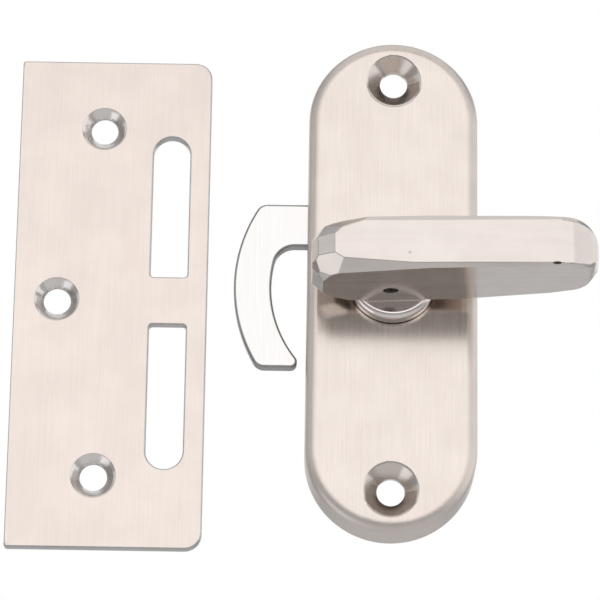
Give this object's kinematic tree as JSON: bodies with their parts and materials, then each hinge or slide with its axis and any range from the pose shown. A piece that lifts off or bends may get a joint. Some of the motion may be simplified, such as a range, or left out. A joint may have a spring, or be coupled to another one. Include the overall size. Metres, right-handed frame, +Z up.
{
  "type": "toggle bolt latch",
  "caption": "Surface-mounted hook latch with a turn handle and a round-ended pressed case, and its flat slotted strike plate.",
  "frame": {"origin": "on the spindle's axis, in the plane where the back of the case meets the door", "axes": "+X right as seen from the front, along the handle; +Z up the case's length; -Y out of the door, towards the hand"},
  "size_m": [0.1119, 0.034, 0.1015],
  "materials": {
    "case_steel": "fine vertical brushing",
    "strike_steel": "fine vertical brushing",
    "hook_steel": "smooth satin",
    "handle_steel": "satin, with polished ends",
    "spindle_steel": "turned and polished",
    "inner_steel": "plain mill finish",
    "fastener_steel": "bright",
    "spring_steel": "hardened, dark",
    "bush_brass": "turned",
    "nylon": "natural white nylon"
  },
  "bodies": {
    "case": {"front_case": "case_steel", "back_plate": "inner_steel", "post_upper_left": "inner_steel", "post_upper_right": "inner_steel", "post_lower_left": "inner_steel", "post_lower_right": "inner_steel", "plate_screw_upper_left": "fastener_steel", "plate_screw_upper_right": "fastener_steel", "plate_screw_lower_left": "fastener_steel", "plate_screw_lower_right": "fastener_steel", "stop_pin": "fastener_steel", "bearing_bush": "bush_brass", "inner_washer": "nylon", "front_washer": "nylon"},
    "turning_set": {"spindle": "spindle_steel", "handle": "handle_steel", "grub_screw": "fastener_steel", "hook": "hook_steel", "clamp_washer": "inner_steel", "disc_spring": "spring_steel", "retaining_screw": "fastener_steel"},
    "strike": {"strike_plate": "strike_steel"}
  },
  "joints": [
    {"name": "handle_turn", "type": "hinge", "parent": "case", "child": "turning_set", "pos_m": [0, 0, 0], "axis": [0, 1, 0], "range_deg": [0, 90]},
    {"name": "strike_travel", "type": "slide", "parent": "case", "child": "strike", "axis": [-1, 0, 0], "range_m": [0, 0.06]}
  ]
}
